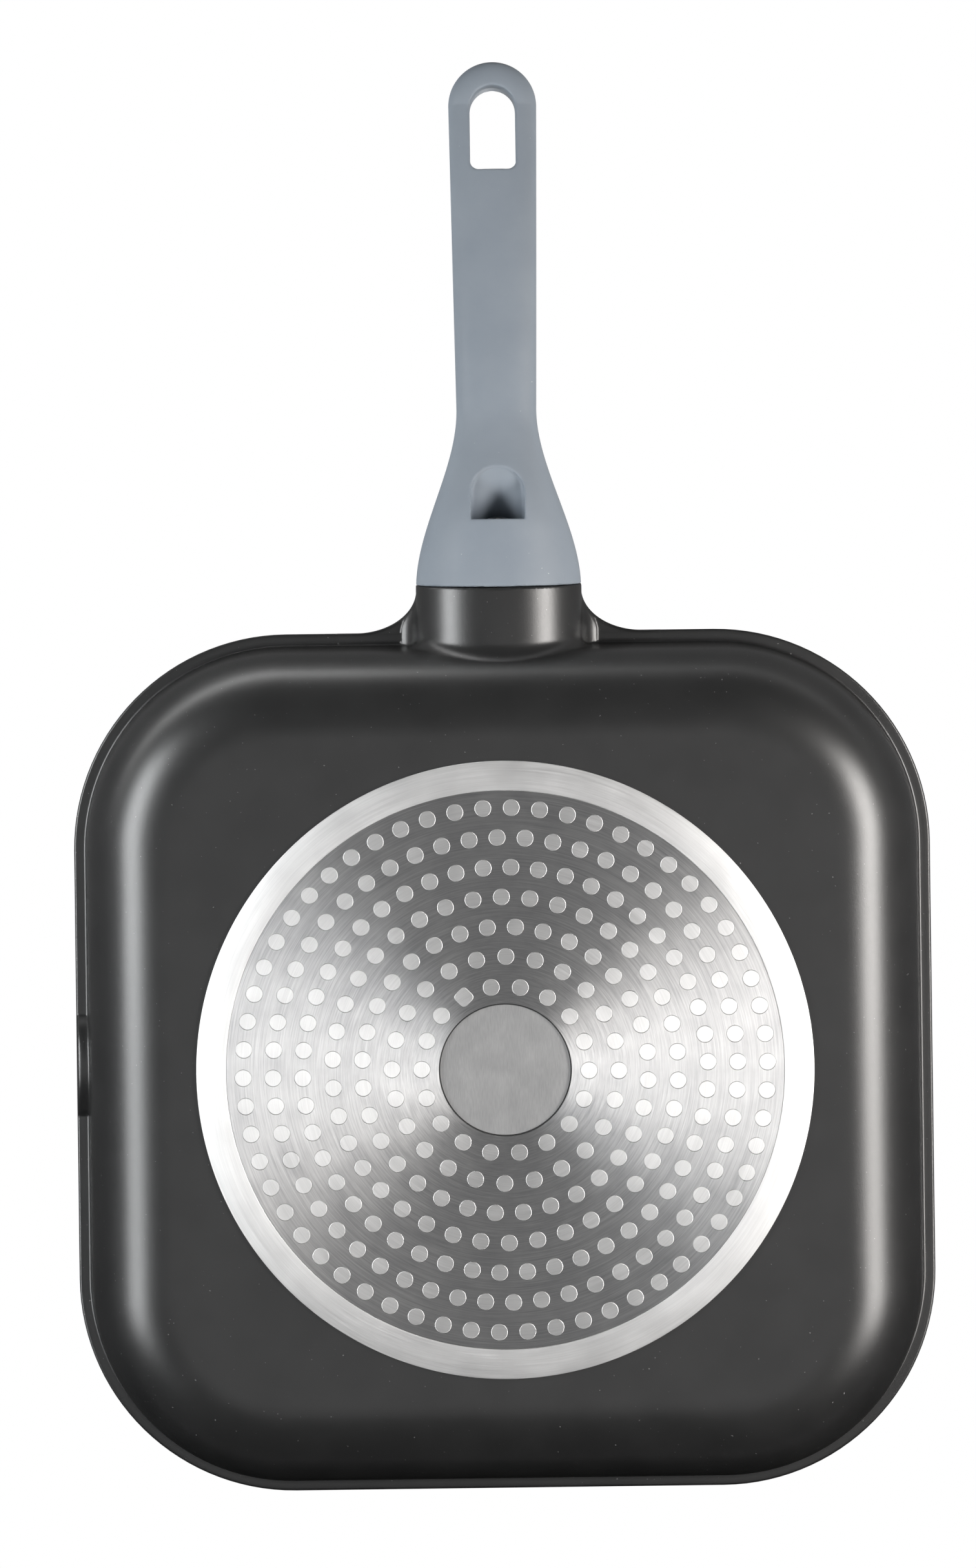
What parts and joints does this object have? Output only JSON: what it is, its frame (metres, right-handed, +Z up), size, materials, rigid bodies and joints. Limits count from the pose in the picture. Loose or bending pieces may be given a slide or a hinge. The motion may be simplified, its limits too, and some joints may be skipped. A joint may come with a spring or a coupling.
{
  "type": "grill pan",
  "caption": "Square cast grill pan with a ribbed cooking floor, a side pouring spout, a perforated steel induction plate in its base and a moulded handle held by a screw.",
  "frame": {"origin": "centre of the round base, on the plane of the hob that the pan stands on", "axes": "+Z up, out of the cooking side; +Y along the handle, from the pan to the tail; the pouring spout is on the +X side"},
  "size_m": [0.28, 0.468, 0.0568],
  "materials": {
    "coated_aluminium": "cast aluminium under a satin black non-stick coating; the round pad of the base is machined bare",
    "plate_steel": "ferritic steel sheet, turned in circles, flush with the base",
    "handle_moulding": "grey thermoset moulding with a soft matt skin",
    "screw_steel": "zinc-plated steel"
  },
  "bodies": {
    "root": {"pan_body": "coated_aluminium", "induction_plate": "plate_steel", "handle": "handle_moulding", "handle_screw": "screw_steel", "spring_washer": "screw_steel", "plain_washer": "screw_steel"}
  },
  "joints": []
}
